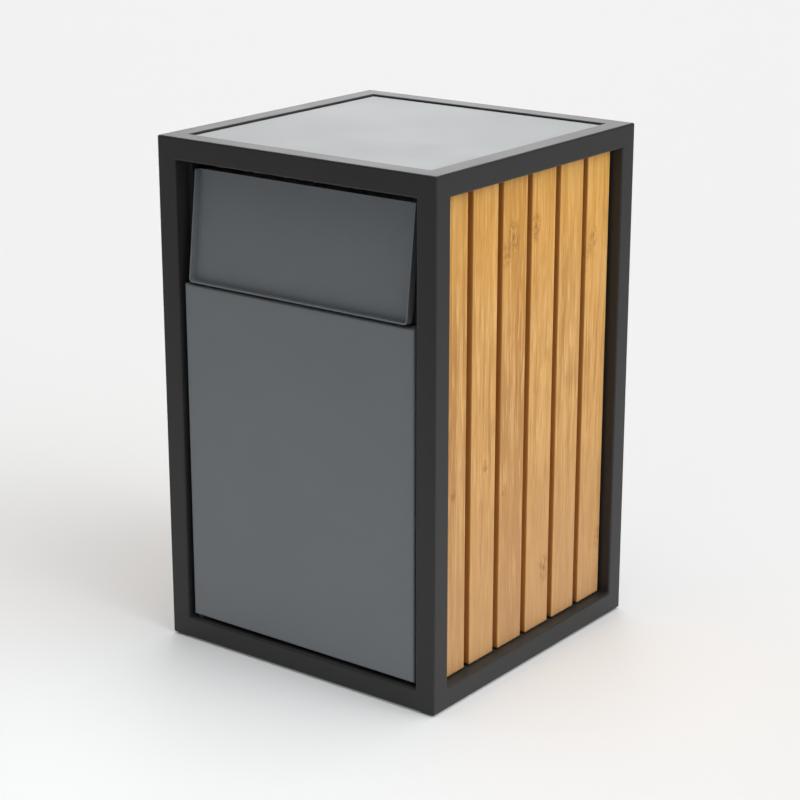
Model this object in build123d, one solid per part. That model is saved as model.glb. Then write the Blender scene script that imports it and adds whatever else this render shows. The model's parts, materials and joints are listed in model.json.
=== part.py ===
"""Litter bin: a square steel tube frame with timber slat sides, a grey steel door,
a counterweighted push flap above it, and a galvanised liner inside.

Millimetres. +Z is up, the front faces -Y and the right side faces +X. The origin is on
the floor, at the centre of the footprint. Each piece is written to parts/NODE.step.
"""

from build123d import *
import math
import os

# ---------------------------------------------------------------- driving dimensions
width = 450.0             # outside of the frame, left to right
depth = 450.0             # outside of the frame, front to back
frame_height = 700.0      # underside of the bottom rails to the top of the frame
foot_height = 2.0         # rubber feet under the frame
foot_size = 22.0          # square rubber pad
foot_corner_r = 3.0
foot_inset = 4.0          # pad's edge in from the frame's outside
foot_stem_r = 4.0         # stem that plugs into the rail
foot_stem_length = 8.0
tube = 30.0               # square tube, outside
tube_wall = 2.0
tube_edge_r = 2.0         # rounded outer edges of the tube

slat_width = 54.0
slat_thick = 14.0
slat_edge_r = 1.5
slat_least_gap = 8.0      # as many slats as fit with at least this gap between them
slat_side_gap = 4.5       # first and last slat to the posts
slat_end_gap = 1.5        # slat ends to the rails
batten_thick = 4.0        # flat bar that joins the slats to the rails
batten_on_rail = 14.0     # height of the bar that lies on the rail
batten_on_slat = 14.5     # height of the bar that lies on the slats
batten_end_gap = 2.0      # bar's end to the post's inner face

panel_gap = 2.0           # top, rear and floor panels to the tubes round them
panel_sheet = 2.0
top_panel_drop = 2.0      # top panel below the top of the frame
top_flange = 12.0
rear_recess = 5.0
rear_flange = 15.0
floor_lift = 2.0          # floor pan above the underside of the rails
floor_flange = 10.0
panel_bend = 3.0          # outside radius of the folded edges
panel_screw_inset = 60.0  # first screw from a panel's corner
screw_share = 0.6         # screws across a flange, as a share of its width from the face
floor_screw_share = 0.65
anchor_inset = 17.0       # ground anchor holes in from the tubes
anchor_hole_r = 5.5
drain_hole_r = 4.0
drain_inset = 80.0        # drain holes in from the tubes

door_side_gap = 6.0
door_sill_gap = 4.5
door_recess = 5.0
door_flange = 15.0
door_sheet = 1.5
hinge_edge = 8.0          # hinge axis in from the door's edge, and behind its face
hinge_pin_r = 3.0
hinge_bush_wall = 1.5
hinge_bush_flange = 1.5
hinge_bush_lap = 0.4      # bush's collar past its hole, clear of the folded edge
hinge_plate = 3.0         # plate on the crossbar that holds the upper pin
hinge_plate_gap = 1.5     # upper bush to that plate
hinge_ring = 2.5          # metal left round the upper pin
hinge_arm_width = 18.0
crossbar = 20.0           # square tube behind the door's top edge
crossbar_wall = 1.5
crossbar_recess = 24.0    # crossbar behind the front of the frame
stiffener_height = 40.0   # folded channel across the back of the door
stiffener_depth = 10.0
stiffener_end_gap = 20.0
magnet_r = 6.0            # catch on the crossbar
sleeve_r = 7.5
sleeve_flange_r = 9.0
sleeve_flange = 1.0
sleeve_length = 14.0
magnet_proud = 0.6        # magnet's face in front of the sleeve's flange
strike_gap = 0.4          # strike plate to the magnet
strike_sheet = 2.0
strike_width = 28.0
strike_edge_gap = 1.5     # strike plate to the inside of the door's flange

flap_height = 148.0       # upright height of the flap's front edge
flap_door_gap = 4.0       # flap above the door
flap_side_gap = 16.0      # flap to the posts
flap_top_recess = 21.0    # flap's front edge behind the frame's face, at its top
flap_bottom_recess = 3.0  # and at its bottom, so that the flap leans out
flap_top_gap = 12.5       # flap's top below the top rail
flap_lip = 9.0            # lip that stands forward of the flap's face
flap_sheet = 2.0
flap_corner_r = 6.0
flap_axle_r = 4.0
flap_axle_drop = 8.0      # axle below the flap's top edge
flap_axle_gap = 1.0       # axle to the back of the flap
flap_flange = 39.0        # flap's top edge folded back
weight_width = 22.0       # counterweight bar under that flange
weight_thick = 12.0
weight_end_gap = 3.0
weight_start = 12.0       # front of the bar behind the axle
gusset_thick = 3.0
gusset_drop = 10.0
bracket_thick = 3.0       # plates that carry the axle and close the flap's side gaps
bracket_back = 36.0       # plate behind the axle
bracket_front = 10.0      # plate in front of the axle
cheek_gap = 1.5           # plate's lower end above the door
flap_bush_wall = 2.0
stop_reach = 26.0         # stop tab in from the bracket
stop_start = 17.0         # stop tab behind the axle
stop_length = 14.0
stop_thick = 3.0
buffer_r = 4.0
buffer_thick = 3.0

liner_gap = 30.0          # liner to the tubes round it
liner_sheet = 1.0
liner_corner_r = 15.0
liner_lift = 28.0         # lift that clears the front rail
liner_crossbar_gap = 16.0  # lifted liner below the crossbar
liner_rim_width = 3.0
liner_rim_height = 6.0
liner_rim_r = 2.4         # rounded top of the rim
hand_slot_length = 100.0
hand_slot_height = 28.0
hand_slot_drop = 40.0     # slot's centre below the liner's top
edging_web = 2.0
edging_lap = 4.0
edging_thick = 1.5

screw_r = 2.0
screw_head_r = 3.5
screw_head = 2.2
bolt_r = 2.5
bolt_head_r = 4.5
bolt_head = 2.8
wood_screw_r = 1.8
wood_screw_head_r = 3.4
wood_screw_head = 2.0
wood_screw_length = 15.0
thread_past = 2.0         # thread that shows past the wall it holds
batten_bolt_inset = 90.0  # first batten bolt from its end
bracket_bolt_inset = 8.0  # bracket's bolts in from its two ends

seat = 0.3                # gap where a moving piece rests
running = 0.05            # radial clearance of a pin in its bush
drilled = 0.1             # radial clearance of a screw in its hole

# ---------------------------------------------------------------- places worked out
inner_x = width / 2 - tube
inner_y = depth / 2 - tube
base_z = foot_height
sill_z = base_z + tube
top_z = base_z + frame_height
head_z = top_z - tube
front_y = -depth / 2

flap_top_z = head_z - flap_top_gap
flap_bottom_z = flap_top_z - flap_height
flap_lean = math.degrees(math.atan2(flap_top_recess - flap_bottom_recess, flap_height))
flap_length = math.hypot(flap_top_recess - flap_bottom_recess, flap_height)
flap_half = inner_x - flap_side_gap
flap_face = flap_axle_r + flap_axle_gap + flap_sheet     # axle to the flap's face
flap_front = flap_face + flap_lip                        # axle to the lip's front edge
_lean = math.radians(flap_lean)
axle_y = (front_y + flap_top_recess + flap_front * math.cos(_lean)
          - flap_axle_drop * math.sin(_lean))
axle_z = flap_top_z - flap_front * math.sin(_lean) - flap_axle_drop * math.cos(_lean)

door_half = inner_x - door_side_gap
door_bottom_z = sill_z + door_sill_gap
door_top_z = flap_bottom_z - flap_door_gap
door_y = front_y + door_recess
hinge_x = -door_half + hinge_edge
hinge_y = door_y + hinge_edge
hinge_plate_z = door_top_z - door_sheet - hinge_bush_flange - hinge_plate_gap - hinge_plate
crossbar_y = front_y + crossbar_recess
crossbar_z = hinge_plate_z - crossbar

floor_z = base_z + floor_lift                            # underside of the floor pan
floor_top_z = floor_z + panel_sheet
liner_x = inner_x - liner_gap
liner_y = inner_y - liner_gap
liner_z = floor_top_z + seat
liner_top_z = crossbar_z - liner_crossbar_gap - liner_lift

slat_span = 2 * (inner_y - slat_side_gap)
slat_count = int((slat_span + slat_least_gap) // (slat_width + slat_least_gap))
slat_pitch = (slat_span - slat_width) / (slat_count - 1)
slat_centres = [-(slat_span - slat_width) / 2 + i * slat_pitch for i in range(slat_count)]
batten_height = batten_on_rail + slat_end_gap + batten_on_slat
batten_inner_x = inner_x - batten_thick
batten_half = inner_y - batten_end_gap
batten_low_z = {"lower": sill_z - batten_on_rail, "upper": head_z + batten_on_rail - batten_height}
batten_bolt_z = {"lower": sill_z - batten_on_rail / 2, "upper": head_z + batten_on_rail / 2}
slat_screw_z = {"lower": sill_z + slat_end_gap + batten_on_slat / 2,
                "upper": head_z - slat_end_gap - batten_on_slat / 2}
bracket_x = batten_inner_x - bracket_thick
cheek_low_z = door_top_z + cheek_gap

SIDES = {"left": -1, "right": 1}


# ---------------------------------------------------------------- helpers
def save(name, shape):
    """Write one piece, which may be a group of separate solids, to its own file."""
    export_step(shape, os.path.join("parts", name + ".step"))


def group(solids):
    """Separate solids that share one node."""
    return Compound(children=list(solids))


def block(x, y, z):
    """Box between two limits on each axis."""
    size = [b - a for a, b in (x, y, z)]
    centre = [(a + b) / 2 for a, b in (x, y, z)]
    return Pos(*centre) * Box(*size)


def rod(point, direction, radius, length, start=0.0):
    """Round bar that starts a given way along direction from point."""
    place = Plane(origin=point, z_dir=direction)
    return place * Pos(0, 0, start + length / 2) * Cylinder(radius, length)


def ring(point, direction, inner, outer, length, start=0.0):
    """Round bar with a bore."""
    return rod(point, direction, outer, length, start) - rod(point, direction, inner, length, start)


def drill(shape, marks, radius, length, start=0.0):
    """Cut the same round hole at each mark, a (point, direction) pair."""
    return shape - [rod(p, d, radius, length, start) for p, d in marks]


def headed(point, direction, shank_r, head_r, head, length):
    """Pan-head screw: the head stands behind the point, the shank goes along direction."""
    button = rod(point, direction, head_r, head, -head)
    outward = Plane(origin=point, z_dir=direction).location.z_axis
    button = fillet(button.edges().sort_by(outward)[0], head / 3)
    return button + rod(point, direction, shank_r, length)


def spread(half, inset, count):
    """Evenly spaced places between two equal insets."""
    step = 2 * (half - inset) / (count - 1)
    return [-(half - inset) + i * step for i in range(count)]


def pan(length, height, flange, sheet, bend):
    """Sheet folded up along its four edges. The face lies on local Z = 0, the flanges rise."""
    outer = Pos(0, 0, flange / 2) * Box(length, height, flange)
    outer = fillet(outer.faces().sort_by(Axis.Z)[0].edges(), bend)
    inner = Pos(0, 0, sheet + flange / 2) * Box(length - 2 * sheet, height - 2 * sheet, flange)
    inner = fillet(inner.faces().sort_by(Axis.Z)[0].edges(), bend - sheet)
    return outer - inner


def leaning(shape):
    """Carry a shape from the flap's own upright frame, centred on the axle, to its place."""
    return Pos(0, axle_y, axle_z) * Rot(-flap_lean, 0, 0) * shape


# ---------------------------------------------------------------- screw places
def rim_marks(half_x, half_y, z, count):
    """Screws through the four flanges of a level pan, pointing outwards."""
    marks = []
    for y in spread(half_y, panel_screw_inset, count):
        marks += [((s * half_x, y, z), (s, 0, 0)) for s in SIDES.values()]
    for x in spread(half_x, panel_screw_inset, count):
        marks += [((x, s * half_y, z), (0, s, 0)) for s in (-1, 1)]
    return marks


flange_x = inner_x - panel_gap - panel_sheet             # inside of the panels' flanges
flange_y = inner_y - panel_gap - panel_sheet
top_marks = rim_marks(flange_x, flange_y, top_z - top_panel_drop - top_flange * screw_share, 2)
floor_marks = rim_marks(flange_x, flange_y, floor_z + floor_flange * floor_screw_share, 2)
rear_y = depth / 2 - rear_recess
rear_bottom_z = sill_z + panel_gap
rear_top_z = head_z - panel_gap
rear_marks = [((s * flange_x, rear_y - rear_flange * screw_share, z), (s, 0, 0))
              for s in SIDES.values()
              for z in [(rear_bottom_z + rear_top_z) / 2 + d
                        for d in spread((rear_top_z - rear_bottom_z) / 2, panel_screw_inset, 3)]]
bracket_ends = (axle_y - bracket_front, axle_y + bracket_back)


def batten_marks(side, level):
    """Bolts that hold one batten to its rail, from the inside outwards."""
    s = SIDES[side]
    return [((s * batten_inner_x, y, batten_bolt_z[level]), (s, 0, 0))
            for y in spread(batten_half, batten_bolt_inset, 3)]


def bracket_marks(side):
    """Bolts through a flap bracket, the upper batten and the rail."""
    s = SIDES[side]
    ys = (bracket_ends[0] + 2 * bracket_bolt_inset, bracket_ends[1] - bracket_bolt_inset)
    return [((s * bracket_x, y, batten_bolt_z["upper"]), (s, 0, 0)) for y in ys]


def slat_marks(side, level):
    """Wood screws through one batten, one into each slat."""
    s = SIDES[side]
    return [((s * batten_inner_x, y, slat_screw_z[level]), (s, 0, 0)) for y in slat_centres]


# ---------------------------------------------------------------- frame
def rail_ring(z, marks, bolts):
    """Four hollow rails joined by mitres, before they are cut apart."""
    solid = Pos(0, 0, z + tube / 2) * Box(width, depth, tube)
    solid = fillet(solid.edges(), tube_edge_r)
    solid -= Pos(0, 0, z + tube / 2) * Box(2 * inner_x, 2 * inner_y, tube)
    inside = [edge for face in (solid.faces().sort_by(Axis.Z)[0], solid.faces().sort_by(Axis.Z)[-1])
              for wire in face.inner_wires() for edge in wire.edges()]
    solid = fillet(inside, tube_edge_r)
    hollow = Box(width - 2 * tube_wall, depth - 2 * tube_wall, tube - 2 * tube_wall)
    hollow -= Box(2 * (inner_x + tube_wall), 2 * (inner_y + tube_wall), tube)
    solid -= Pos(0, 0, z + tube / 2) * hollow
    reach = 2 * (panel_gap + panel_sheet) + tube_wall + batten_thick + bracket_thick
    solid = drill(solid, marks, screw_r + drilled, reach)
    return drill(solid, bolts, bolt_r + drilled, reach)


def mitred(ring_solid, side):
    """The quarter of a rail ring between two corner mitres."""
    big = max(width, depth)
    gap_x, gap_y = inner_x, inner_y
    corners = {
        "front": [(-width / 2, -depth / 2), (width / 2, -depth / 2), (gap_x, -gap_y), (-gap_x, -gap_y)],
        "rear": [(width / 2, depth / 2), (-width / 2, depth / 2), (-gap_x, gap_y), (gap_x, gap_y)],
        "left": [(-width / 2, depth / 2), (-width / 2, -depth / 2), (-gap_x, -gap_y), (-gap_x, gap_y)],
        "right": [(width / 2, -depth / 2), (width / 2, depth / 2), (gap_x, gap_y), (gap_x, -gap_y)],
    }[side]
    wedge = extrude(make_face(Polyline(*corners, close=True)), 2 * (top_z + big))
    return ring_solid & wedge


def post(x, y, marks):
    """Hollow upright between the two rail rings."""
    tall = head_z - sill_z
    solid = Box(tube, tube, tall)
    solid = fillet(solid.edges().filter_by(Axis.Z), tube_edge_r)
    solid -= Box(tube - 2 * tube_wall, tube - 2 * tube_wall, tall)
    solid = Pos(x, y, (sill_z + head_z) / 2) * solid
    return drill(solid, marks, screw_r + drilled, 2 * panel_gap + panel_sheet + tube_wall)


def make_frame():
    bolts = {level: [m for side in SIDES for m in batten_marks(side, level)] for level in batten_low_z}
    bolts["upper"] += [m for side in SIDES for m in bracket_marks(side)]
    upper = rail_ring(head_z, top_marks, bolts["upper"])
    lower = rail_ring(base_z, floor_marks, bolts["lower"])
    lower -= rod((hinge_x, hinge_y, sill_z), (0, 0, -1), hinge_pin_r, tube_wall + 1, -0.5)
    for x, y in foot_places():
        lower -= rod((x, y, base_z), (0, 0, 1), foot_stem_r, tube_wall + 1, -0.5)
    for side in ("front", "rear", "left", "right"):
        save("top_rail_" + side, mitred(upper, side))
        save("bottom_rail_" + side, mitred(lower, side))
    for side, s in SIDES.items():
        x = s * (inner_x + tube / 2)
        save("post_front_" + side, post(x, -inner_y - tube / 2, []))
        save("post_rear_" + side, post(x, inner_y + tube / 2, [m for m in rear_marks if m[1][0] == s]))


def foot_places():
    reach = foot_inset + foot_size / 2
    return [(sx * (width / 2 - reach), sy * (depth / 2 - reach)) for sx in (-1, 1) for sy in (-1, 1)]


def make_feet():
    pads = []
    for x, y in foot_places():
        pad = fillet(Box(foot_size, foot_size, foot_height).edges().filter_by(Axis.Z), foot_corner_r)
        pad = Pos(x, y, foot_height / 2) * pad
        pads.append(pad + rod((x, y, base_z), (0, 0, 1), foot_stem_r, foot_stem_length))
    save("feet", group(pads))


# ---------------------------------------------------------------- slatted sides
def make_sides():
    screws = []
    bolts = []
    for side, s in SIDES.items():
        pilots = slat_marks(side, "lower") + slat_marks(side, "upper")
        for i, y in enumerate(slat_centres, 1):
            board = Box(slat_thick, slat_width, head_z - sill_z - 2 * slat_end_gap)
            board = fillet(board.edges().filter_by(Axis.Z), slat_edge_r)
            board = Pos(s * (inner_x + slat_thick / 2), y, (sill_z + head_z) / 2) * board
            own = [m for m in pilots if m[0][1] == y]
            save(f"{side}_slat_{i}", drill(board, own, wood_screw_r + running, wood_screw_length + 1))
        for level, low in batten_low_z.items():
            xs = sorted((s * inner_x, s * batten_inner_x))
            bar = block(xs, (-batten_half, batten_half), (low, low + batten_height))
            bar = drill(bar, batten_marks(side, level), bolt_r + drilled, batten_thick)
            if level == "upper":
                bar = drill(bar, bracket_marks(side), bolt_r + drilled, batten_thick + bracket_thick)
            bar -= [countersunk(p, d, drilled) for p, d in slat_marks(side, level)]
            save(f"{side}_{level}_batten", bar)
            screws += [countersunk(p, d, 0) for p, d in slat_marks(side, level)]
            grip = batten_thick + tube_wall + thread_past
            bolts += [headed(p, d, bolt_r, bolt_head_r, bolt_head, grip)
                      for p, d in batten_marks(side, level)]
        grip = bracket_thick + batten_thick + tube_wall + thread_past
        bolts += [headed(p, d, bolt_r, bolt_head_r, bolt_head, grip) for p, d in bracket_marks(side)]
    save("slat_screws", group(screws))
    save("batten_bolts", group(bolts))


def countersunk(point, direction, grow):
    """Wood screw whose flat head is flush with the batten; grow widens it into its hole."""
    place = Plane(origin=point, z_dir=direction)
    head = Cone(wood_screw_head_r + grow, wood_screw_r + grow, wood_screw_head)
    shank = Pos(0, 0, wood_screw_length / 2) * Cylinder(wood_screw_r + grow, wood_screw_length)
    return place * (Pos(0, 0, wood_screw_head / 2) * head + shank)


# ---------------------------------------------------------------- fixed panels
def make_panels():
    size_x, size_y = 2 * (inner_x - panel_gap), 2 * (inner_y - panel_gap)
    hole = screw_r + drilled
    top = pan(size_x, size_y, top_flange, panel_sheet, panel_bend)
    top = Plane(origin=(0, 0, top_z - top_panel_drop), x_dir=(1, 0, 0), z_dir=(0, 0, -1)) * top
    save("top_panel", drill(top, top_marks, hole, panel_sheet))

    rear = pan(size_x, rear_top_z - rear_bottom_z, rear_flange, panel_sheet, panel_bend)
    middle = (0, rear_y, (rear_bottom_z + rear_top_z) / 2)
    rear = Plane(origin=middle, x_dir=(1, 0, 0), z_dir=(0, -1, 0)) * rear
    save("rear_panel", drill(rear, rear_marks, hole, panel_sheet))

    floor = Pos(0, 0, floor_z) * pan(size_x, size_y, floor_flange, panel_sheet, panel_bend)
    floor = drill(floor, floor_marks, hole, panel_sheet)
    for radius, inset in ((anchor_hole_r, anchor_inset), (drain_hole_r, drain_inset)):
        for sx in (-1, 1):
            for sy in (-1, 1):
                x, y = sx * (inner_x - inset), sy * (inner_y - inset)
                floor -= rod((x, y, floor_z), (0, 0, 1), radius, panel_sheet)
    save("floor_pan", floor)

    marks = top_marks + rear_marks + floor_marks
    grip = panel_sheet + panel_gap + tube_wall + thread_past
    save("panel_screws", group(headed(p, d, screw_r, screw_head_r, screw_head, grip) for p, d in marks))
    save("panel_spacers", group(ring(p, d, hole, 2 * screw_r, panel_gap, panel_sheet) for p, d in marks))


# ---------------------------------------------------------------- door
def make_crossbar():
    bar = block((-inner_x, inner_x), (crossbar_y, crossbar_y + crossbar), (crossbar_z, hinge_plate_z))
    wall = crossbar_wall
    bar -= block((-inner_x, inner_x), (crossbar_y + wall, crossbar_y + crossbar - wall),
                 (crossbar_z + wall, hinge_plate_z - wall))
    spot, facing = magnet_place()
    save("crossbar", drill(bar, [(spot, facing)], sleeve_r, wall + 1, -0.5))

    low, high = hinge_plate_z, hinge_plate_z + hinge_plate
    arm_x = hinge_x - hinge_pin_r / 2
    plate = block((arm_x, arm_x + hinge_arm_width), (hinge_y, crossbar_y + crossbar), (low, high))
    plate += rod((hinge_x, hinge_y, low), (0, 0, 1), hinge_pin_r + hinge_ring, hinge_plate)
    plate -= rod((hinge_x, hinge_y, low), (0, 0, 1), hinge_pin_r, hinge_plate)
    save("upper_hinge_plate", plate)

    washer = ring((hinge_x, hinge_y, sill_z), (0, 0, 1), hinge_pin_r + running,
                  hinge_pin_r + hinge_ring, door_sill_gap - seat)
    save("door_thrust_washer", washer)
    upper_from, upper_to = low, door_top_z - seat
    lower_from, lower_to = sill_z - tube_wall, door_bottom_z + door_sheet + 2 * hinge_bush_flange
    save("door_pivot_pins", group([
        rod((hinge_x, hinge_y, upper_from), (0, 0, 1), hinge_pin_r, upper_to - upper_from),
        rod((hinge_x, hinge_y, lower_from), (0, 0, 1), hinge_pin_r, lower_to - lower_from)]))


def magnet_place():
    """Centre of the magnet on the crossbar's front face, and the way into the bar."""
    x = door_half - door_sheet - strike_edge_gap - strike_width / 2
    return (x, crossbar_y, crossbar_z + crossbar / 2), (0, 1, 0)


def make_catch():
    spot, facing = magnet_place()
    sleeve = rod(spot, facing, sleeve_r, sleeve_length)
    sleeve += rod(spot, facing, sleeve_flange_r, sleeve_flange, -sleeve_flange)
    sleeve -= rod(spot, facing, magnet_r, sleeve_length + 2 * sleeve_flange, -2 * sleeve_flange)
    save("magnet_sleeve", sleeve)
    proud = sleeve_flange + magnet_proud
    save("door_magnet", rod(spot, facing, magnet_r, sleeve_length + proud, -proud))

    face_y = crossbar_y - proud - strike_gap
    half = crossbar / 2
    x_high = door_half - door_sheet
    z_low, z_high = spot[2] - half, spot[2] + half
    plate = block((x_high - strike_edge_gap - strike_width, x_high),
                  (face_y - strike_sheet, face_y), (z_low, z_high))
    leg = block((x_high - strike_sheet, x_high),
                (door_y + 2 * door_sheet, face_y), (z_low, z_high))
    save("strike_plate", plate + leg)


def make_door():
    tall = door_top_z - door_bottom_z
    middle = (0, door_y, (door_top_z + door_bottom_z) / 2)
    place = Plane(origin=middle, x_dir=(-1, 0, 0), z_dir=(0, 1, 0))
    panel = place * pan(2 * door_half, tall, door_flange, door_sheet, panel_bend)
    bush_r = hinge_pin_r + running + hinge_bush_wall
    panel -= rod((hinge_x, hinge_y, door_bottom_z), (0, 0, 1), bush_r, door_sheet)
    panel -= rod((hinge_x, hinge_y, door_top_z), (0, 0, -1), bush_r, door_sheet)
    notch_low = hinge_plate_z - hinge_plate_gap
    notch_y = door_y + panel_bend
    panel -= block((-door_half, -door_half + door_sheet), (notch_y, door_y + door_flange),
                   (notch_low, door_top_z - door_sheet))
    save("door_panel", panel)

    bushes = []
    for z, up in ((door_bottom_z, 1), (door_top_z, -1)):
        spot, way = (hinge_x, hinge_y, z), (0, 0, up)
        sleeve = rod(spot, way, bush_r, door_sheet + hinge_bush_flange)
        collar = rod(spot, way, bush_r + hinge_bush_lap, hinge_bush_flange, door_sheet)
        bore = rod(spot, way, hinge_pin_r + running, door_sheet + hinge_bush_flange)
        bushes.append(sleeve + collar - bore)
    save("door_bushes", group(bushes))

    back = door_y + door_sheet
    half = door_half - door_sheet - stiffener_end_gap
    z_mid = middle[2]
    high = stiffener_height / 2
    foot = stiffener_height / 4
    hat = block((-half, half), (back, back + stiffener_depth), (z_mid - high, z_mid + high))
    hat -= block((-half, half), (back, back + stiffener_depth - door_sheet),
                 (z_mid - high + door_sheet, z_mid + high - door_sheet))
    for s in (-1, 1):
        zs = sorted((z_mid + s * (high - door_sheet), z_mid + s * (high + foot)))
        hat += block((-half, half), (back, back + door_sheet), zs)
    save("door_stiffener", hat)


# ---------------------------------------------------------------- flap
def make_flap():
    top = flap_axle_drop
    bottom = flap_axle_drop - flap_length
    face, back, front = -flap_face, -flap_face + flap_sheet, -flap_front
    tray = block((-flap_half, flap_half), (front, back), (bottom, top))
    corners = tray.edges().filter_by(Axis.Y).group_by(Axis.Z)[0]
    tray = fillet(corners, flap_corner_r)
    sheet = flap_sheet
    hollow = block((-flap_half + sheet, flap_half - sheet), (front, face), (bottom + sheet, top))
    corners = hollow.edges().filter_by(Axis.Y).group_by(Axis.Z)[0]
    tray -= fillet(corners, flap_corner_r - sheet)
    flange_half = flap_half - sheet
    fold = block((-flange_half, flange_half), (face, face + flap_flange), (top - sheet, top))
    tray += fold
    bar_low = top - sheet - weight_thick
    weight_mid = weight_start + weight_width / 2
    screw_xs = spread(flange_half, panel_screw_inset, 3)
    marks = [((x, weight_mid, top), (0, 0, -1)) for x in screw_xs]
    tray = drill(tray, marks, bolt_r + drilled, sheet)
    save("flap_panel", leaning(tray))

    bar_half = flange_half - weight_end_gap
    bar = block((-bar_half, bar_half), (weight_start, weight_start + weight_width),
                (bar_low, top - sheet))
    bar = drill(bar, marks, bolt_r + drilled, weight_thick, sheet)
    save("flap_counterweight", leaning(bar))
    grip = sheet + weight_thick - thread_past
    save("counterweight_bolts", leaning(group(
        headed(p, d, bolt_r, bolt_head_r, bolt_head, grip) for p, d in marks)))

    plates = []
    for x in spread(flange_half, panel_screw_inset / 2, 3):
        plate = block((x - gusset_thick / 2, x + gusset_thick / 2),
                      (back, weight_start), (-gusset_drop, top - sheet))
        plates.append(plate - rod((x, 0, 0), (1, 0, 0), flap_axle_r, 2 * gusset_thick, -gusset_thick))
    save("flap_gussets", leaning(group(plates)))
    axle_half = inner_x - 2 * seat
    save("flap_axle", leaning(rod((-axle_half, 0, 0), (1, 0, 0), flap_axle_r, 2 * axle_half)))


def make_flap_carriers():
    bush_r = flap_axle_r + running + flap_bush_wall
    bushes = []
    buffers = []
    stop_top = flap_axle_drop - flap_sheet - weight_thick - seat - buffer_thick
    for side, s in SIDES.items():
        xs = sorted((s * bracket_x, s * batten_inner_x))
        plate = block(xs, bracket_ends, (cheek_low_z, batten_bolt_z["upper"] + batten_on_rail / 2))
        lip_ys = (bracket_ends[0], bracket_ends[0] + bracket_thick)
        plate += block(sorted((s * bracket_x, s * inner_x)), lip_ys, (cheek_low_z, head_z - seat))
        tab_xs = sorted((s * (bracket_x - stop_reach), s * bracket_x))
        tab_ys = (stop_start, stop_start + stop_length)
        plate += leaning(block(tab_xs, tab_ys, (stop_top - stop_thick, stop_top)))
        plate -= block(xs, (bracket_ends[0], -inner_y + seat), (head_z - seat, top_z))
        axle = (s * bracket_x, axle_y, axle_z)
        out = (s, 0, 0)
        plate -= rod(axle, out, bush_r, bracket_thick)
        plate = drill(plate, bracket_marks(side), bolt_r + drilled, bracket_thick)
        save("flap_bracket_" + side, plate)
        bush = rod(axle, out, bush_r, bracket_thick)
        bush += rod(axle, out, bush_r + flap_bush_wall, flap_bush_wall, -flap_bush_wall)
        bushes.append(bush - rod(axle, out, flap_axle_r + running, 2 * bracket_thick, -bracket_thick))
        buffer_x = s * (bracket_x - stop_reach + buffer_r + 1)
        buffer_y = stop_start + stop_length / 2
        buffers.append(leaning(rod((buffer_x, buffer_y, stop_top), (0, 0, 1), buffer_r, buffer_thick)))
    save("flap_bushes", group(bushes))
    save("flap_stop_buffers", group(buffers))


# ---------------------------------------------------------------- liner
def rounded(half_x, half_y, radius, low, high):
    """Upright block with rounded corners."""
    sketch = RectangleRounded(2 * half_x, 2 * half_y, radius)
    return Pos(0, 0, low) * extrude(sketch, high - low)


def slot_solid(length, height, x_from, x_to, z):
    """Stadium-shaped bar along X, for cutting and for the edging."""
    place = Plane(origin=(x_from, 0, z), x_dir=(0, 1, 0), z_dir=(1, 0, 0))
    sketch = place * SlotOverall(length, height)
    return extrude(sketch, x_to - x_from)


def make_liner():
    sheet = liner_sheet
    outer = rounded(liner_x, liner_y, liner_corner_r, liner_z, liner_top_z)
    inner = rounded(liner_x - sheet, liner_y - sheet, liner_corner_r - sheet, liner_z + sheet, liner_top_z)
    slot_z = liner_top_z - hand_slot_drop
    cut_length, cut_height = hand_slot_length + 2 * edging_web, hand_slot_height + 2 * edging_web
    shell = outer - inner - slot_solid(cut_length, cut_height, -liner_x - 1, liner_x + 1, slot_z)
    save("liner", shell)

    rim = rounded(liner_x + liner_rim_width, liner_y + liner_rim_width,
                  liner_corner_r + liner_rim_width, liner_top_z - liner_rim_height, liner_top_z)
    rim = fillet(rim.faces().sort_by(Axis.Z)[-1].edges(), liner_rim_r)
    rim -= rounded(liner_x, liner_y, liner_corner_r, liner_top_z - liner_rim_height, liner_top_z)
    save("liner_rim", rim)

    edgings = []
    for s in SIDES.values():
        wall = sorted((s * liner_x, s * (liner_x - sheet)))
        lo, hi = wall[0] - edging_thick, wall[1] + edging_thick
        lap = 2 * (edging_web + edging_lap)
        edging = slot_solid(hand_slot_length + lap, hand_slot_height + lap, lo, hi, slot_z)
        gap = slot_solid(hand_slot_length + 2 * lap, hand_slot_height + 2 * lap, *wall, slot_z)
        gap -= slot_solid(cut_length, cut_height, *wall, slot_z)
        edging -= gap
        edging -= slot_solid(hand_slot_length, hand_slot_height, lo, hi, slot_z)
        edgings.append(edging)
    save("hand_slot_edging", group(edgings))


os.makedirs("parts", exist_ok=True)
make_frame()
make_feet()
make_sides()
make_panels()
make_crossbar()
make_catch()
make_door()
make_flap()
make_flap_carriers()
make_liner()
print(f"{slat_count} slats a side, {slat_pitch - slat_width:.1f} mm apart")
print(f"flap leans {flap_lean:.2f} degrees; axle at y {axle_y:.2f}, z {axle_z:.2f}")
print(f"hinge at x {hinge_x:.1f}, y {hinge_y:.1f}; door {door_bottom_z:.1f} to {door_top_z:.1f}")
print(f"liner {liner_z:.1f} to {liner_top_z:.1f}; crossbar {crossbar_z:.1f} to {hinge_plate_z:.1f}")
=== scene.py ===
# %% [markdown]
# # A litter bin of black tube, grey sheet and timber
#
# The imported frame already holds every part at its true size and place. This lesson dresses it:
# the studio and the camera first, then the finishes, then the pieces whose surface deserves more
# than the plain solid has. Each new piece takes its size from the part that it stands for.

# %% Load the frame
import json
import math

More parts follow.
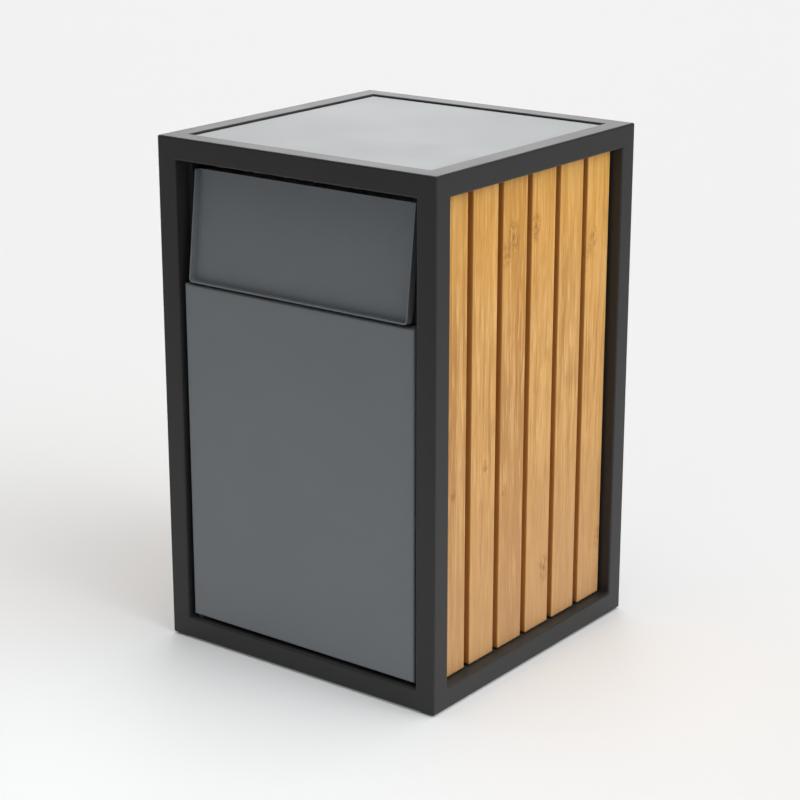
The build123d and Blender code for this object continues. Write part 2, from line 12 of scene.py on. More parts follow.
import bmesh
import bpy
import numpy as np
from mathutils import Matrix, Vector


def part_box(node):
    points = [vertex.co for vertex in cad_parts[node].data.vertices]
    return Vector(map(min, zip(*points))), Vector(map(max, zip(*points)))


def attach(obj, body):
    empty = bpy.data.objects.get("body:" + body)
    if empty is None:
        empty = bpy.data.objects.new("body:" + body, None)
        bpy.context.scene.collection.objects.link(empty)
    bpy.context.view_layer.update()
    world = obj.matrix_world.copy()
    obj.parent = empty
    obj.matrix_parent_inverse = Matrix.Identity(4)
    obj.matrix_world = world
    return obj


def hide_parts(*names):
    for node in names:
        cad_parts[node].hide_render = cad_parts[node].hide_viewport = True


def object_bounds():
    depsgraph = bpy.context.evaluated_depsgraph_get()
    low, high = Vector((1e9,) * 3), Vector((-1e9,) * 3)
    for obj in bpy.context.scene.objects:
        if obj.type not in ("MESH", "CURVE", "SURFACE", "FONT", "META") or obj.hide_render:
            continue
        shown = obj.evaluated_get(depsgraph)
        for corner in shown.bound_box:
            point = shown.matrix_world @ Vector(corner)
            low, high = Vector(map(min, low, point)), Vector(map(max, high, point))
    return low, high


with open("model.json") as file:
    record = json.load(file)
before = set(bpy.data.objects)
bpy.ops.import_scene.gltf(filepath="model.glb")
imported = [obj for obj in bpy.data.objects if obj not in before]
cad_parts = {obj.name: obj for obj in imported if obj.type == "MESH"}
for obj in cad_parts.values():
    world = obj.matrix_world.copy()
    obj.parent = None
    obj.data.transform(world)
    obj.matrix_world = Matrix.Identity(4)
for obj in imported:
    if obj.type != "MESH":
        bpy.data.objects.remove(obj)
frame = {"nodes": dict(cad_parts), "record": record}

cad_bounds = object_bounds()
MM = 0.001
lowest, highest = (np.array(v) for v in cad_bounds)
print("bin:", np.round((highest - lowest) / MM), "mm")

# %% [markdown]
# ## Camera
#
# A long lens from about three metres keeps the upright edges nearly parallel. The camera looks at
# a point a little below the middle of the bin, from the front and its right side.

# %% Place the camera
VIEW_AZIMUTH, VIEW_ELEVATION = 37.1, 17.52    # degrees round from the front, and above level
VIEW_DISTANCE = 2.953
VIEW_LENS = 96.97                             # mm, on a 36 mm wide sensor
view_target = Vector((0.0008, 0.0, 0.3269))


def from_angles(azimuth, elevation):
    """Unit vector from the bin towards a place that far round and that far up."""
    a, e = math.radians(azimuth), math.radians(elevation)
    return Vector((math.sin(a) * math.cos(e), -math.cos(a) * math.cos(e), math.sin(e)))


camera_data = bpy.data.cameras.new("camera")
camera_data.lens = VIEW_LENS
camera_data.sensor_width = 36.0
camera = bpy.data.objects.new("camera", camera_data)
bpy.context.scene.collection.objects.link(camera)
towards = from_angles(VIEW_AZIMUTH, VIEW_ELEVATION)
camera.location = view_target + towards * VIEW_DISTANCE
camera.rotation_euler = towards.to_track_quat("Z", "Y").to_euler()
bpy.context.scene.camera = camera
bpy.context.scene.view_settings.view_transform = "Standard"
print("camera at", [round(v, 3) for v in camera.location])

# %% [markdown]
# ## Studio
#
# The bin stands on pale paper that runs away behind it and fades into the room's dimmer floor at
# its sides and in front. Soft boxes light it: a large one on the right, which throws the soft
# shadow on the left, with a weak one under it, one overhead, a weak low one in front, and a low
# bright one behind, which the level faces mirror. As lobes of one smooth sky they need no lamp
# objects. The paper also glows a little in a pool in front of the bin: painted light, with no lamp
# behind it, that lifts the shade there.

# %% Small helpers for nodes


def link(tree, source, target):
    tree.links.new(source, target)


def node(tree, kind, **settings):
    """New node with its properties set by name."""
    made = tree.nodes.new(kind)
    for key, value in settings.items():
        setattr(made, key, value)
    return made


def math_node(tree, operation, a, b=None, c=None, clamp=False):
    """Math node whose inputs are numbers or sockets; gives its output socket."""
    made = node(tree, "ShaderNodeMath", operation=operation, use_clamp=clamp)
    for i, value in enumerate((a, b, c)):
        if value is None:
            continue
        if isinstance(value, (int, float)):
            made.inputs[i].default_value = value
        else:
            link(tree, value, made.inputs[i])
    return made.outputs[0]


def noise(tree, vector, scale, detail=3.0, roughness=0.5):
    made = node(tree, "ShaderNodeTexNoise")
    made.inputs["Scale"].default_value = scale
    made.inputs["Detail"].default_value = detail
    made.inputs["Roughness"].default_value = roughness
    link(tree, vector, made.inputs["Vector"])
    return made.outputs["Fac"]


def mix_colours(tree, factor, a, b):
    """Blend of two colours, each a tuple or a socket."""
    made = node(tree, "ShaderNodeMix", data_type="RGBA")
    link(tree, factor, made.inputs["Factor"])
    for name, value in (("A", a), ("B", b)):
        socket = [s for s in made.inputs if s.name == name and s.type == "RGBA"][0]
        if isinstance(value, tuple):
            socket.default_value = (*value, 1)
        else:
            link(tree, value, socket)
    return [s for s in made.outputs if s.type == "RGBA"][0]


def ramp(tree, value, low, high, to_low=0.0, to_high=1.0):
    """Smooth step from to_low at low to to_high at high."""
    made = node(tree, "ShaderNodeMapRange", interpolation_type="SMOOTHSTEP")
    link(tree, value, made.inputs["Value"])
    ends = {"From Min": low, "From Max": high, "To Min": to_low, "To Max": to_high}
    for name, number in ends.items():
        made.inputs[name].default_value = number
    return made.outputs["Result"]


def dot(tree, vector, fixed):
    """Dot product of a vector socket with a fixed vector."""
    made = node(tree, "ShaderNodeVectorMath", operation="DOT_PRODUCT")
    made.inputs[1].default_value = fixed
    link(tree, vector, made.inputs[0])
    return made.outputs["Value"]


# %% Floor
FLOOR_HALF = 30.0                             # metres
PAPER_TONE, ROOM_TONE = (0.84, 0.84, 0.838), (0.52, 0.52, 0.52)
PAPER_HALF, PAPER_SPREAD = 1.17, 0.294        # half its width at the bin, and its growth per metre
PAPER_START, PAPER_FADE = -0.70, 0.9          # where it ends in front, and how softly
# Painted light: the floor glows in a pool in front of the bin and lifts the shade there; no lamp
# gives it.
GLOW, GLOW_TONE = 0.16, (0.95, 1.0, 1.03)
GLOW_MIDDLE, GLOW_CORE, GLOW_REACH = (0.12, -0.42, 0.0), 0.05, 0.80
away = -from_angles(VIEW_AZIMUTH, 0)
rightward = from_angles(VIEW_AZIMUTH + 90, 0)

floor_mesh = bpy.data.meshes.new("studio_floor")
floor_mesh.from_pydata([(FLOOR_HALF * x, FLOOR_HALF * y, 0.0) for x, y in
                        ((-1, -1), (1, -1), (1, 1), (-1, 1))], [], [(0, 1, 2, 3)])
floor = bpy.data.objects.new("studio_floor", floor_mesh)
bpy.context.scene.collection.objects.link(floor)
floor_paint = bpy.data.materials.new("studio_floor")
floor_paint.use_nodes = True
paper = floor_paint.node_tree
floor_shader = paper.nodes["Principled BSDF"]
spot = node(paper, "ShaderNodeTexCoord").outputs["Object"]
along = dot(paper, spot, away)
aside = math_node(paper, "ABSOLUTE", dot(paper, spot, rightward))
half_width = math_node(paper, "MULTIPLY_ADD", along, PAPER_SPREAD, PAPER_HALF)
off_side = ramp(paper, math_node(paper, "SUBTRACT", aside, half_width), 0.0, PAPER_FADE)
off_end = ramp(paper, along, PAPER_START, PAPER_START - PAPER_FADE)
off_paper = math_node(paper, "MAXIMUM", off_side, off_end)
link(paper, mix_colours(paper, off_paper, PAPER_TONE, ROOM_TONE), floor_shader.inputs["Base Color"])
from_glow = node(paper, "ShaderNodeVectorMath", operation="DISTANCE")
from_glow.inputs[1].default_value = GLOW_MIDDLE
link(paper, spot, from_glow.inputs[0])
link(paper, ramp(paper, from_glow.outputs["Value"], GLOW_REACH, GLOW_CORE, 0.0, GLOW),
     floor_shader.inputs["Emission Strength"])
floor_shader.inputs["Emission Color"].default_value = (*GLOW_TONE, 1)
floor_shader.inputs["Roughness"].default_value = 0.9
floor_shader.inputs["Specular IOR Level"].default_value = 0.2
floor_mesh.materials.append(floor_paint)
print("floor:", 2 * FLOOR_HALF, "m square")

# %% Soft boxes as lobes of the sky
# Each lobe: its (azimuth, elevation), how tightly it is held, and its strength.
SKY_LOBES = [((95, 35), 14.0, 2.85), ((92, 12), 10.0, 0.90), ((180, 80), 6.0, 2.85),
             ((10, 12), 8.0, 0.41), ((217, 13), 42.0, 4.1)]
BELOW_HORIZON = 0.55                 # what lies past the end of the floor

world = bpy.data.worlds.new("studio")
bpy.context.scene.world = world
world.use_nodes = True
sky = world.node_tree
background = sky.nodes["Background"]
direction = node(sky, "ShaderNodeTexCoord").outputs["Generated"]
total = ramp(sky, dot(sky, direction, (0, 0, 1)), 0.01, -0.01, 0.0, BELOW_HORIZON)
for angles, tightness, strength in SKY_LOBES:
    half = math_node(sky, "MULTIPLY_ADD", dot(sky, direction, from_angles(*angles)), 0.5, 0.5)
    lobe = math_node(sky, "POWER", half, 2 * tightness)
    total = math_node(sky, "MULTIPLY_ADD", lobe, strength, total)
link(sky, total, background.inputs["Strength"])
background.inputs["Color"].default_value = (1.0, 1.0, 1.0, 1)
print("sky lobes:", len(SKY_LOBES))

# %% [markdown]
# ## Building surfaces from arrays
#
# A new piece is a grid: rows of points worked out at once with numpy, joined into quads. Most
# sheet and bar shapes are a closed outline carried along a second outline, so one helper that
# joins rows of points makes nearly all of them.

# %% Mesh helpers


def add_piece(name, points, faces, body, slot, stands_for=()):
    """Put points (n, 3) and faces into a mesh, ride it on a CAD body and hide what it stands for."""
    mesh = bpy.data.meshes.new(name)
    mesh.from_pydata(points.reshape(-1, 3), [], faces)
    mesh.validate()
    mesh.shade_smooth()
    piece = bpy.data.objects.new(name, mesh)
    bpy.context.scene.collection.objects.link(piece)
    mesh.materials.append(finishes[slot])
    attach(piece, body)
    if stands_for:
        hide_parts(*stands_for)
    print(f"{name}: {len(mesh.vertices)} points, {len(mesh.polygons)} faces")
    return piece


def grid_faces(rows, columns, closed_columns=True, start=0):
    """Quads between neighbouring rows of a (rows, columns) grid of point numbers."""
    number = start + np.arange(rows * columns).reshape(rows, columns)
    across = np.roll(number, -1, axis=1) if closed_columns else number[:, 1:]
    here = number if closed_columns else number[:, :-1]
    return np.stack([here[:-1], across[:-1], across[1:], here[1:]], axis=-1).reshape(-1, 4).tolist()


def outward(piece):
    """Turn every face of a closed piece outwards."""
    work = bmesh.new()
    work.from_mesh(piece.data)
    bmesh.ops.recalc_face_normals(work, faces=work.faces)
    work.to_mesh(piece.data)
    work.free()


def rounded_rectangle(half_u, half_v, radius, steps=6):
    """Outline of a rectangle whose corners are quarter circles, anticlockwise, as (n, 2)."""
    turn = np.linspace(0, math.pi / 2, steps + 1)
    quarter = radius * np.stack([np.cos(turn), np.sin(turn)], axis=1)
    spots = [(1, 1, 0), (-1, 1, 1), (-1, -1, 2), (1, -1, 3)]
    out = []
    for su, sv, turns in spots:
        c, s = math.cos(turns * math.pi / 2), math.sin(turns * math.pi / 2)
        arc = quarter @ np.array([[c, s], [-s, c]])
        out.append(arc + (su * (half_u - radius), sv * (half_v - radius)))
    return np.concatenate(out)


# %% [markdown]
# ## Finishes
#
# Nothing on a real bin has one flat colour. Paint has the faint orange peel of baked powder, zinc
# has its crystals, and timber its rings, knots and pores. Two effects serve several finishes, so
# they are node groups: one for the fine unevenness of any surface, one for the dust that settles
# on faces that look up.

# %% Group: unevenness


def group_with(name, inputs, outputs):
    """Empty node group with named sockets; gives its tree and its two end nodes."""
    tree = bpy.data.node_groups.new(name, "ShaderNodeTree")
    for socket, kind in inputs:
        tree.interface.new_socket(socket, in_out="INPUT", socket_type=kind)
    for socket, kind in outputs:
        tree.interface.new_socket(socket, in_out="OUTPUT", socket_type=kind)
    return tree, node(tree, "NodeGroupInput"), node(tree, "NodeGroupOutput")


def scaled(tree, vector, factor):
    """Vector times a number from a socket."""
    made = node(tree, "ShaderNodeVectorMath", operation="SCALE")
    link(tree, vector, made.inputs[0])
    link(tree, factor, made.inputs["Scale"])
    return made.outputs[0]


COLOUR, NUMBER, VECTOR = "NodeSocketColor", "NodeSocketFloat", "NodeSocketVector"
uneven, given, result = group_with(
    "unevenness",
    [("Vector", VECTOR), ("Colour", COLOUR), ("Cloud size", NUMBER), ("Grain size", NUMBER),
     ("Tone change", NUMBER), ("Roughness", NUMBER), ("Roughness change", NUMBER)],
    [("Colour", COLOUR), ("Roughness", NUMBER), ("Height", NUMBER)])
per_cloud = math_node(uneven, "DIVIDE", 1.0, given.outputs["Cloud size"])
per_grain = math_node(uneven, "DIVIDE", 1.0, given.outputs["Grain size"])
clouds = noise(uneven, scaled(uneven, given.outputs["Vector"], per_cloud), 1.0, 4.0)
grains = noise(uneven, scaled(uneven, given.outputs["Vector"], per_grain), 1.0, 2.0)
cloud_part = math_node(uneven, "SUBTRACT", clouds, 0.5)
grain_part = math_node(uneven, "SUBTRACT", grains, 0.5)
both = math_node(uneven, "MULTIPLY_ADD", grain_part, 0.5, cloud_part)
tone = math_node(uneven, "MULTIPLY_ADD", both, given.outputs["Tone change"], 1.0)
link(uneven, scaled(uneven, given.outputs["Colour"], tone), result.inputs["Colour"])
link(uneven, math_node(uneven, "MULTIPLY_ADD", both, given.outputs["Roughness change"],
                       given.outputs["Roughness"]), result.inputs["Roughness"])
link(uneven, grains, result.inputs["Height"])
print("group unevenness:", len(uneven.nodes), "nodes")

# %% Group: settled dust
dusty, given, result = group_with(
    "settled_dust",
    [("Vector", VECTOR), ("Colour", COLOUR), ("Roughness", NUMBER), ("Amount", NUMBER)],
    [("Colour", COLOUR), ("Roughness", NUMBER)])
facing = node(dusty, "ShaderNodeNewGeometry")
parts = node(dusty, "ShaderNodeSeparateXYZ")
link(dusty, facing.outputs["Normal"], parts.inputs[0])
upward = ramp(dusty, parts.outputs["Z"], 0.6, 1.0)
patches = ramp(dusty, noise(dusty, given.outputs["Vector"], 14.0, 5.0, 0.6), 0.35, 0.75)
settled = math_node(dusty, "MULTIPLY", upward, patches)
dust = math_node(dusty, "MULTIPLY", settled, given.outputs["Amount"])
DUST_COLOUR = (0.42, 0.40, 0.36)
link(dusty, mix_colours(dusty, dust, given.outputs["Colour"], DUST_COLOUR), result.inputs["Colour"])
link(dusty, math_node(dusty, "MULTIPLY_ADD", dust, 0.3, given.outputs["Roughness"], clamp=True),
     result.inputs["Roughness"])

# %% [markdown]
# ## Painted, zinc, nylon and rubber finishes
#
# These differ only in a few numbers: colour, how large and how strong the unevenness is, how
# rough, how metallic. So one function makes them all, and a table holds what is particular.

# %% Plain finishes


def new_material(name):
    material = bpy.data.materials.new(name)
    material.use_nodes = True
    return material, material.node_tree, material.node_tree.nodes["Principled BSDF"]


def use_group(tree, group, **values):
    """Place a node group and set its inputs, given as numbers, colours or sockets."""
    made = node(tree, "ShaderNodeGroup", node_tree=group)
    for key, value in values.items():
        socket = made.inputs[key.replace("_", " ")]
        if isinstance(value, bpy.types.NodeSocket):
            link(tree, value, socket)
        else:
            socket.default_value = (*value, 1) if isinstance(value, tuple) else value
    return made


def bump(tree, shader, height, distance, strength=1.0):
    made = node(tree, "ShaderNodeBump")
    made.inputs["Distance"].default_value = distance
    made.inputs["Strength"].default_value = strength
    link(tree, height, made.inputs["Height"])
    link(tree, made.outputs["Normal"], shader.inputs["Normal"])


def plain_finish(name, colour, roughness, cloud=90, grain=1.2, tone=0.12, change=0.08,
                 depth=0.02, metallic=0.0, dust=0.0, level=0.5):
    """Finish of even colour. cloud, grain and depth are in millimetres."""
    material, tree, shader = new_material(name)
    place = node(tree, "ShaderNodeTexCoord").outputs["Object"]
    surface = use_group(tree, uneven, Vector=place, Colour=colour, Cloud_size=cloud * MM,
                        Grain_size=grain * MM, Tone_change=tone, Roughness=roughness,
                        Roughness_change=change)
    last = surface
    if dust:
        last = use_group(tree, dusty, Vector=place, Colour=surface.outputs["Colour"],
                         Roughness=surface.outputs["Roughness"], Amount=dust)
    link(tree, last.outputs["Colour"], shader.inputs["Base Color"])
    link(tree, last.outputs["Roughness"], shader.inputs["Roughness"])
    shader.inputs["Metallic"].default_value = metallic
    shader.inputs["Specular IOR Level"].default_value = level
    bump(tree, shader, surface.outputs["Height"], depth * MM)
    return material


finishes = {
    "black_powder_coat": plain_finish("black_powder_coat", (0.0275, 0.0275, 0.028), 0.43,
                                      grain=0.9, tone=0.25, dust=0.04, depth=0.018, level=0.3),
    "grey_powder_coat": plain_finish("grey_powder_coat", (0.180, 0.196, 0.209), 0.42,
                                     grain=1.1, tone=0.10, dust=0.03, depth=0.012, level=0.4),
    "zinc_plated_steel": plain_finish("zinc_plated_steel", (0.09, 0.09, 0.095), 0.38, cloud=6,
                                      grain=0.4, metallic=1.0),
    "bright_steel": plain_finish("bright_steel", (0.55, 0.55, 0.56), 0.28, cloud=12, grain=0.3,
                                 metallic=1.0),
    "nylon": plain_finish("nylon", (0.030, 0.030, 0.031), 0.5, cloud=10, grain=0.6, tone=0.3),
    "rubber": plain_finish("rubber", (0.022, 0.022, 0.022), 0.75, cloud=20, grain=0.5, tone=0.3,
                           depth=0.04, dust=0.1),
    "magnet_ferrite": plain_finish("magnet_ferrite", (0.10, 0.10, 0.11), 0.5, cloud=4, grain=0.3,
                                   metallic=0.6),
}

# %% [markdown]
# ## Galvanised steel
#
# Zinc cools into crystals some ten millimetres across, each tilted its own way, so each mirrors
# the room a little differently. A Voronoi pattern gives cells with one random tone each.

# %% Galvanised finish
zinc, tree, shader = new_material("galvanised_steel")
place = node(tree, "ShaderNodeTexCoord").outputs["Object"]
crystals = node(tree, "ShaderNodeTexVoronoi", feature="F1")
crystals.inputs["Scale"].default_value = 95.0
link(tree, place, crystals.inputs["Vector"])
tones = node(tree, "ShaderNodeSeparateColor")
link(tree, crystals.outputs["Color"], tones.inputs[0])
surface = use_group(tree, uneven, Vector=place, Colour=(0.60, 0.62, 0.64), Cloud_size=0.07,
                    Grain_size=0.001, Tone_change=0.2, Roughness=0.36, Roughness_change=0.12)
shade = mix_colours(tree, math_node(tree, "MULTIPLY", tones.outputs[0], 0.45),
                    surface.outputs["Colour"], (0.40, 0.42, 0.45))
link(tree, shade, shader.inputs["Base Color"])
link(tree, math_node(tree, "MULTIPLY_ADD", tones.outputs[1], 0.16, surface.outputs["Roughness"]),
     shader.inputs["Roughness"])
shader.inputs["Metallic"].default_value = 1.0
bump(tree, shader, tones.outputs[2], 0.02 * MM)
finishes["galvanised_steel"] = zinc

# %% [markdown]
# ## Timber
#
# A slat is cut from a log, so its lines are slices of the log's rings. Each point of a slat gets
# an attribute that says how far it lay from the log's heart; the shader only turns that into pale
# early wood and darker late wood. A knot is a branch: the rings bend round it, and it is darker.

# %% Timber finish: fibres, streaks and rings
timber, tree, shader = new_material("timber")


def attribute(name, output):
    return node(tree, "ShaderNodeAttribute", attribute_name=name).outputs[output]


def drawn_out(vector, share):
    """Vector squeezed along the slat, so that a noise read there is drawn out that way."""
    squeeze = node(tree, "ShaderNodeMapping")
    squeeze.inputs["Scale"].default_value = (1.0, share, 1.0)
    link(tree, vector, squeeze.inputs["Vector"])
    return squeeze.outputs[0]


grain_place = attribute("grain_place", "Vector")
rings, knot, tint, arris_highlight, shaded_flank, shaded_back = (
    attribute(n, "Fac") for n in ("rings", "knot", "tint", "arris_highlight", "shaded_flank", "shaded_back"))
fibres = noise(tree, drawn_out(grain_place, 0.03), 800.0, 3.0, 0.6)
strokes = noise(tree, drawn_out(grain_place, 0.045), 330.0, 2.0, 0.5)
streaks = noise(tree, drawn_out(grain_place, 0.03), 90.0, 3.0, 0.55)
blotches = noise(tree, drawn_out(grain_place, 0.5), 22.0, 3.0, 0.55)
position = math_node(tree, "FRACT", math_node(tree, "MULTIPLY_ADD", streaks, 0.8, rings))
late = math_node(tree, "MULTIPLY", ramp(tree, position, 0.15, 0.90), ramp(tree, position, 1.0, 0.90))

# %% Timber finish: colours
HONEY, ROSY = (0.800, 0.440, 0.142), (0.600, 0.300, 0.092)
LATE_WOOD, PALE_STROKE = (0.470, 0.208, 0.044), (0.930, 0.600, 0.235)
RED_FIBRE, STAIN = (0.430, 0.178, 0.038), (0.480, 0.225, 0.060)
KNOT_RING, KNOT_CORE = (0.330, 0.125, 0.028), (0.210, 0.075, 0.022)
# Colours that the slats turn towards near their top and near their foot.
AMBER, FOOT_TONE = (0.900, 0.430, 0.040), (0.544, 0.308, 0.146)
# Painted shade colours: a deep red-brown for the narrow faces that face the next slat across a gap,
# a dark brown for the faces inside the bin.
PAINTED_GAP_SHADE, PAINTED_INNER_SHADE = (0.560, 0.205, 0.032), (0.170, 0.095, 0.045)
above_floor = dot(tree, node(tree, "ShaderNodeTexCoord").outputs["Object"], (0, 0, 1))
# Layers over the first colour: what drives each, where it starts, where it is full, its largest
# share, its colour. The last two make the slats more amber towards the top and darker and less
# saturated towards the foot.
LAYERS = [(streaks, 0.48, 0.70, 0.50, PALE_STROKE), (streaks, 0.48, 0.26, 0.55, RED_FIBRE),
          (strokes, 0.53, 0.66, 0.60, PALE_STROKE), (strokes, 0.44, 0.30, 0.50, LATE_WOOD),
          (fibres, 0.54, 0.76, 0.40, RED_FIBRE), (blotches, 0.50, 0.72, 0.36, STAIN),
          (above_floor, 0.40, 0.66, 0.33, AMBER), (above_floor, 0.46, 0.02, 0.70, FOOT_TONE)]
shade = mix_colours(tree, tint, HONEY, ROSY)
shade = mix_colours(tree, math_node(tree, "MULTIPLY", late, 0.17), shade, LATE_WOOD)
for driver, start, end, share, colour in LAYERS:
    shade = mix_colours(tree, ramp(tree, driver, start, end, 0.0, share), shade, colour)
smudge = noise(tree, drawn_out(grain_place, 0.6), 170.0, 3.0, 0.6)
knot_field = math_node(tree, "MULTIPLY_ADD", math_node(tree, "SUBTRACT", smudge, 0.5), 3.2, knot)
curl = math_node(tree, "SINE", math_node(tree, "MULTIPLY", knot_field, 4.2))
near_knot = math_node(tree, "MULTIPLY", ramp(tree, knot_field, 2.9, 0.9),
                      ramp(tree, smudge, 0.36, 0.62))
swirl = math_node(tree, "MULTIPLY_ADD", curl, 0.34, 0.62, clamp=True)
whorl = math_node(tree, "MULTIPLY", near_knot, swirl)
shade = mix_colours(tree, whorl, shade, KNOT_RING)
shade = mix_colours(tree, ramp(tree, knot, 1.0, 0.35, 0.0, 0.62), shade, KNOT_CORE)
# Painted shade and bounce light: the narrow faces between slats are darkened to a deeper red-brown.
shade = mix_colours(tree, math_node(tree, "MULTIPLY", shaded_flank, 0.75), shade, PAINTED_GAP_SHADE)
# Painted shade: the faces inside the bin are darkened.
shade = mix_colours(tree, math_node(tree, "MULTIPLY", shaded_back, 0.75), shade, PAINTED_INNER_SHADE)
# Painted highlight: the eased edges are lightened towards the pale stroke colour.
shade = mix_colours(tree, math_node(tree, "MULTIPLY", arris_highlight, 0.30), shade, PALE_STROKE)
surface = use_group(tree, uneven, Vector=grain_place, Colour=shade, Cloud_size=0.10,
                    Grain_size=0.002, Tone_change=0.14, Roughness=0.55, Roughness_change=0.15)
link(tree, surface.outputs["Colour"], shader.inputs["Base Color"])
link(tree, surface.outputs["Roughness"], shader.inputs["Roughness"])
relief = math_node(tree, "MULTIPLY_ADD", late, 0.5, fibres)
bump(tree, shader, relief, 0.10 * MM, 0.6)
shader.inputs["Specular IOR Level"].default_value = 0.25
finishes["timber"] = timber
print("finishes:", sorted(finishes))

# %% Dress every part of the frame
slot_of = {s["node"]: s["material_slot"] for s in frame["record"]["subparts"]}
for name, part in frame["nodes"].items():
    part.data.materials.clear()
    part.data.materials.append(finishes[slot_of[name]])

# %% [markdown]
# ## Welded frame
#
# On the real bin the twelve tubes are welded, ground flush and painted, so no joint shows. A box
# divided in three each way has 27 cells, and the frame is those cells that touch an edge of the
# box: the skin between full and empty cells is the frame, and a bevel rounds it like tube.

# %% Frame from cells


def cell_skin(lines, full):
    """Outer skin of the full cells of a box grid: a face wherever full meets empty."""
    shape = [len(v) for v in lines]
    points = np.stack(np.meshgrid(*lines, indexing="ij"), axis=-1).reshape(-1, 3)
    number = np.arange(len(points)).reshape(shape)
    padded = np.pad(full, 1).astype(int)
    faces = []
    for axis in range(3):
        step = np.diff(padded, axis=axis)
        core = tuple(slice(None) if a == axis else slice(1, -1) for a in range(3))
        for sign in (1, -1):
            i = np.argwhere(step[core] == sign)
            u, v = np.eye(3, dtype=int)[[(axis + 1) % 3, (axis + 2) % 3]]
            ring = [i, i + u, i + u + v, i + v]
            quad = np.stack([number[tuple(c.T)] for c in ring], axis=1)
            faces += (quad[:, ::-1] if sign == 1 else quad).tolist()
    used, renumbered = np.unique(np.array(faces), return_inverse=True)
    return points[used], renumbered.reshape(-1, 4).tolist()


front_left, rear_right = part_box("post_front_left"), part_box("post_rear_right")
base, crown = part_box("bottom_rail_front"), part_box("top_rail_front")
lines = [np.array([front_left[0].x, front_left[1].x, rear_right[0].x, rear_right[1].x]),
         np.array([front_left[0].y, front_left[1].y, rear_right[0].y, rear_right[1].y]),
         np.array([base[0].z, base[1].z, crown[0].z, crown[1].z])]
on_side = np.array([True, False, True])
full = np.sum(np.meshgrid(*[on_side.astype(int)] * 3, indexing="ij"), axis=0) >= 2
points, faces = cell_skin(lines, full)
tubes = [f"{level}_rail_{side}" for level in ("top", "bottom")
         for side in ("front", "rear", "left", "right")]
tubes += [f"post_{end}_{side}" for end in ("front", "rear") for side in ("left", "right")]
welded_frame = add_piece("welded_frame", points, faces, "frame", "black_powder_coat", tubes)
EDGE_RADIUS = 2.6 * MM


def round_edges(piece, width, segments=3):
    """Bevel the sharp edges, then let the large faces decide the shading."""
    bevel = piece.modifiers.new("round_edges", "BEVEL")
    bevel.width = width
    bevel.segments = segments
    bevel.limit_method = "ANGLE"
    bevel.angle_limit = math.radians(35)
    weigh = piece.modifiers.new("flat_faces", "WEIGHTED_NORMAL")
    weigh.keep_sharp = True


round_edges(welded_frame, EDGE_RADIUS, 4)

# %% [markdown]
# ## Slats
#
# Each slat is a rounded oblong carried upwards. A real one is never quite true, so it bows by a
# fraction of a millimetre, and its oiled faces are slightly hollow between the rings. The same
# rows of points carry the attributes that the timber finish reads.

# %% What is particular to each slat
# Knots: slat number from the front, height as a share of the slat, place across it from the
# front edge as a share, radius in millimetres.
KNOTS = {
    "right": [(3, 0.875, 0.42, 8.5), (3, 0.842, 0.12, 6.0), (6, 0.824, 0.32, 5.8),
              (6, 0.792, 0.12, 4.6), (6, 0.457, 0.25, 1.0), (1, 0.668, 0.05, 5.0),
              (1, 0.387, 0.50, 2.8), (2, 0.418, 0.58, 3.4), (3, 0.346, 0.18, 3.0),
              (4, 0.885, 0.16, 7.0), (4, 0.130, 0.80, 7.5), (6, 0.132, 0.92, 6.0)],
    "left": [(2, 0.71, 0.30, 5.8), (4, 0.33, 0.64, 4.0), (5, 0.86, 0.15, 3.6),
             (1, 0.22, 0.78, 4.2), (6, 0.55, 0.45, 3.2)],
}
DARK_KNOTS = {("right", 6, 0.457), ("right", 1, 0.387)}      # small and tight, the rest are faint
TINTS = {"right": (1.00, 0.25, 1.00, 0.06, 0.46, 0.00), "left": (0.4, 0.7, 0.2, 0.5, 0.1, 0.8)}
ARRIS = 1.5 * MM                # eased edges
FACE_SHRINK = 0.004             # keeps the relief of a face inside the board's true size
ROWS = 150
ALONG_WIDE, ALONG_NARROW = 22, 5
RING_SPACING = 3.4 * MM
rng = np.random.default_rng(12)


def slat_section(half_thick, half_wide):
    """Outline of the board, with extra points along its flats, as (n, 2)."""
    corner = rounded_rectangle(half_thick, half_wide, ARRIS, 3)
    out = []
    for a, b in zip(corner, np.roll(corner, -1, axis=0)):
        long_side = abs(b - a).max() > 3 * ARRIS
        wide = abs(b - a)[1] > half_thick * 2
        count = 1 if not long_side else ALONG_WIDE if wide else ALONG_NARROW
        share = np.arange(count)[:, None] / count
        out.append(a + (b - a) * share)
    return np.concatenate(out)


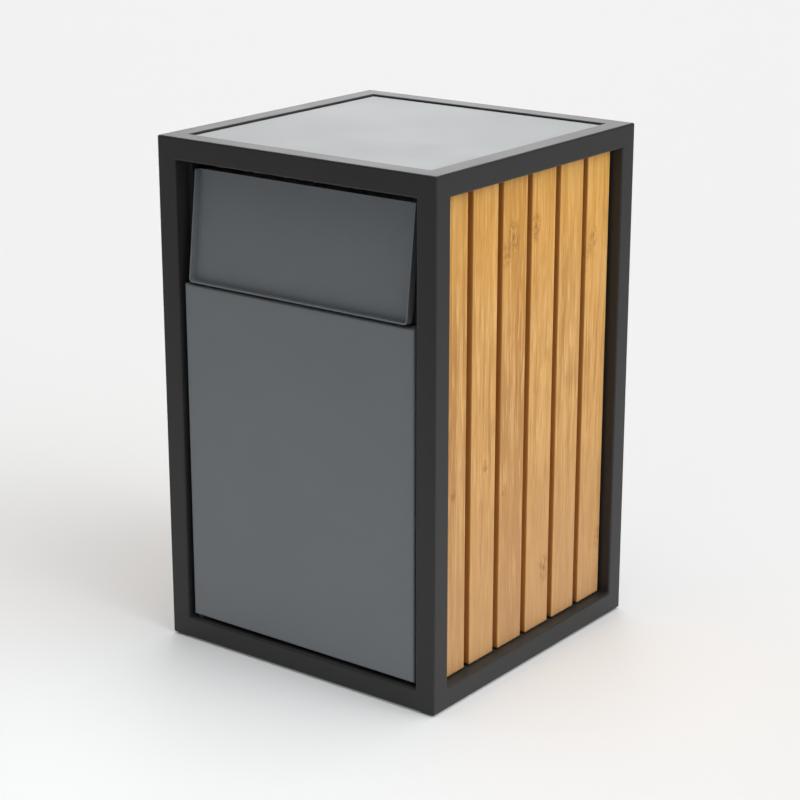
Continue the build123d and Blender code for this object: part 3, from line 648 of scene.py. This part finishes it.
def make_slat(side, number):
    """Board as a grid: the section times the height, bowed and faintly hollowed."""
    name = f"{side}_slat_{number}"
    low, high = (np.array(v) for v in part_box(name))
    centre, half = (low + high) / 2, (high - low) / 2
    section = slat_section(half[0], half[1])
    up = np.linspace(-1, 1, ROWS)
    up = np.sign(up) * (1 - (1 - np.abs(up)) ** 1.15)
    x = np.broadcast_to(section[:, 0], (ROWS, len(section)))
    y = np.broadcast_to(section[:, 1], x.shape)
    z = np.broadcast_to(up[:, None] * half[2], x.shape)

    heart = np.array([rng.uniform(38, 70) * MM * rng.choice([-1, 1]), rng.uniform(-30, 30) * MM])
    drift = rng.uniform(-26, 26) * MM, rng.uniform(-14, 14) * MM
    phase = rng.uniform(0, 6.28, 3)
    seed = rng.uniform(0, 40, 3)
    sway = np.sin(z * 9 + phase[0]) * 2.2 * MM + np.sin(z * 23 + phase[1]) * 0.7 * MM
    across = y - heart[1] - drift[1] * z / half[2] + sway
    through = x - heart[0] - drift[0] * z / half[2]
    rings = np.hypot(across, through) / RING_SPACING

    knot = np.full(x.shape, 99.0)
    for board, height, place, radius in KNOTS[side]:
        if board != number:
            continue
        at_y = -half[1] + 2 * half[1] * place
        at_z = -half[2] + 2 * half[2] * height
        away = np.hypot(y - at_y, (z - at_z) * 0.62) / (radius * MM)
        faint = 0.0 if (side, number, height) in DARK_KNOTS else 0.45
        lobed = 0.16 * np.sin(3 * np.arctan2(z - at_z, y - at_y) + phase[2])
        knot = np.minimum(knot, away + lobed + faint)
        rings = rings + 2.4 * np.exp(-(away / 2.6) ** 2) * np.sign(y - at_y + 1e-9)

    bow = 0.25 * MM * np.sin(np.pi * (z / half[2] + 1) / 2 + phase[2])
    wave = 0.05 * MM * np.sin(2 * np.pi * rings)
    flat = np.clip(1 - np.abs(y) / (half[1] - ARRIS), 0, 1) ** 0.25
    face = x * (1 - FACE_SHRINK) + wave * flat * np.sign(x)
    points = np.stack([face, y + bow * 0.5, z], axis=-1) + centre
    points[..., 0] = np.clip(points[..., 0], low[0], high[0])
    points[..., 1] = np.clip(points[..., 1], low[1], high[1])
    faces = grid_faces(*x.shape)
    count = x.shape[1]
    faces += [list(range(count))[::-1], [(ROWS - 1) * count + i for i in range(count)]]
    piece = add_piece(name + "_board", points, faces, "frame", "timber", [name])
    from_edge = (half[0] - np.abs(x)) + (half[1] - np.abs(y))
    fields = {"rings": rings, "knot": knot, "tint": np.full(x.shape, TINTS[side][number - 1]),
              # Painted highlight: marks the eased edges, fading away from them.
              "arris_highlight": np.clip(1 - from_edge / (2.2 * ARRIS), 0, 1),
              # Painted shade: marks the narrow faces that face the next slat across a gap.
              "shaded_flank": np.where(half[1] - np.abs(y) < 0.5 * ARRIS, 1.0, 0.0),
              # Painted shade: marks the faces that look into the bin.
              "shaded_back": np.where(x * np.sign(centre[0]) < -0.8 * half[0], 1.0, 0.0)}
    for key, values in fields.items():
        spot = piece.data.attributes.new(key, "FLOAT", "POINT")
        spot.data.foreach_set("value", values.ravel().astype(np.float32))
    place = np.stack([y, z, x], axis=-1) + seed
    spot = piece.data.attributes.new("grain_place", "FLOAT_VECTOR", "POINT")
    spot.data.foreach_set("vector", place.ravel().astype(np.float32))
    outward(piece)
    weigh = piece.modifiers.new("flat_faces", "WEIGHTED_NORMAL")
    weigh.keep_sharp = True
    return piece


slats = [make_slat(side, number) for side in ("left", "right") for number in range(1, 7)]
print("slats:", len(slats))

# %% [markdown]
# ## Sheet parts
#
# The door, the flap and the fixed panels are folded sheet: their CAD shapes are right, down to
# the bend radius. A cut edge of sheet is never knife sharp, so a small bevel breaks it, and
# that thin rounded edge is what catches the light.

# %% Break the cut edges of the sheet parts
CUT_EDGE = 0.35 * MM
for name in ("door_panel", "top_panel", "rear_panel", "flap_panel"):
    part = frame["nodes"][name]
    weld = part.modifiers.new("join_triangles", "WELD")
    weld.merge_threshold = 1e-6
    round_edges(part, CUT_EDGE, 2)
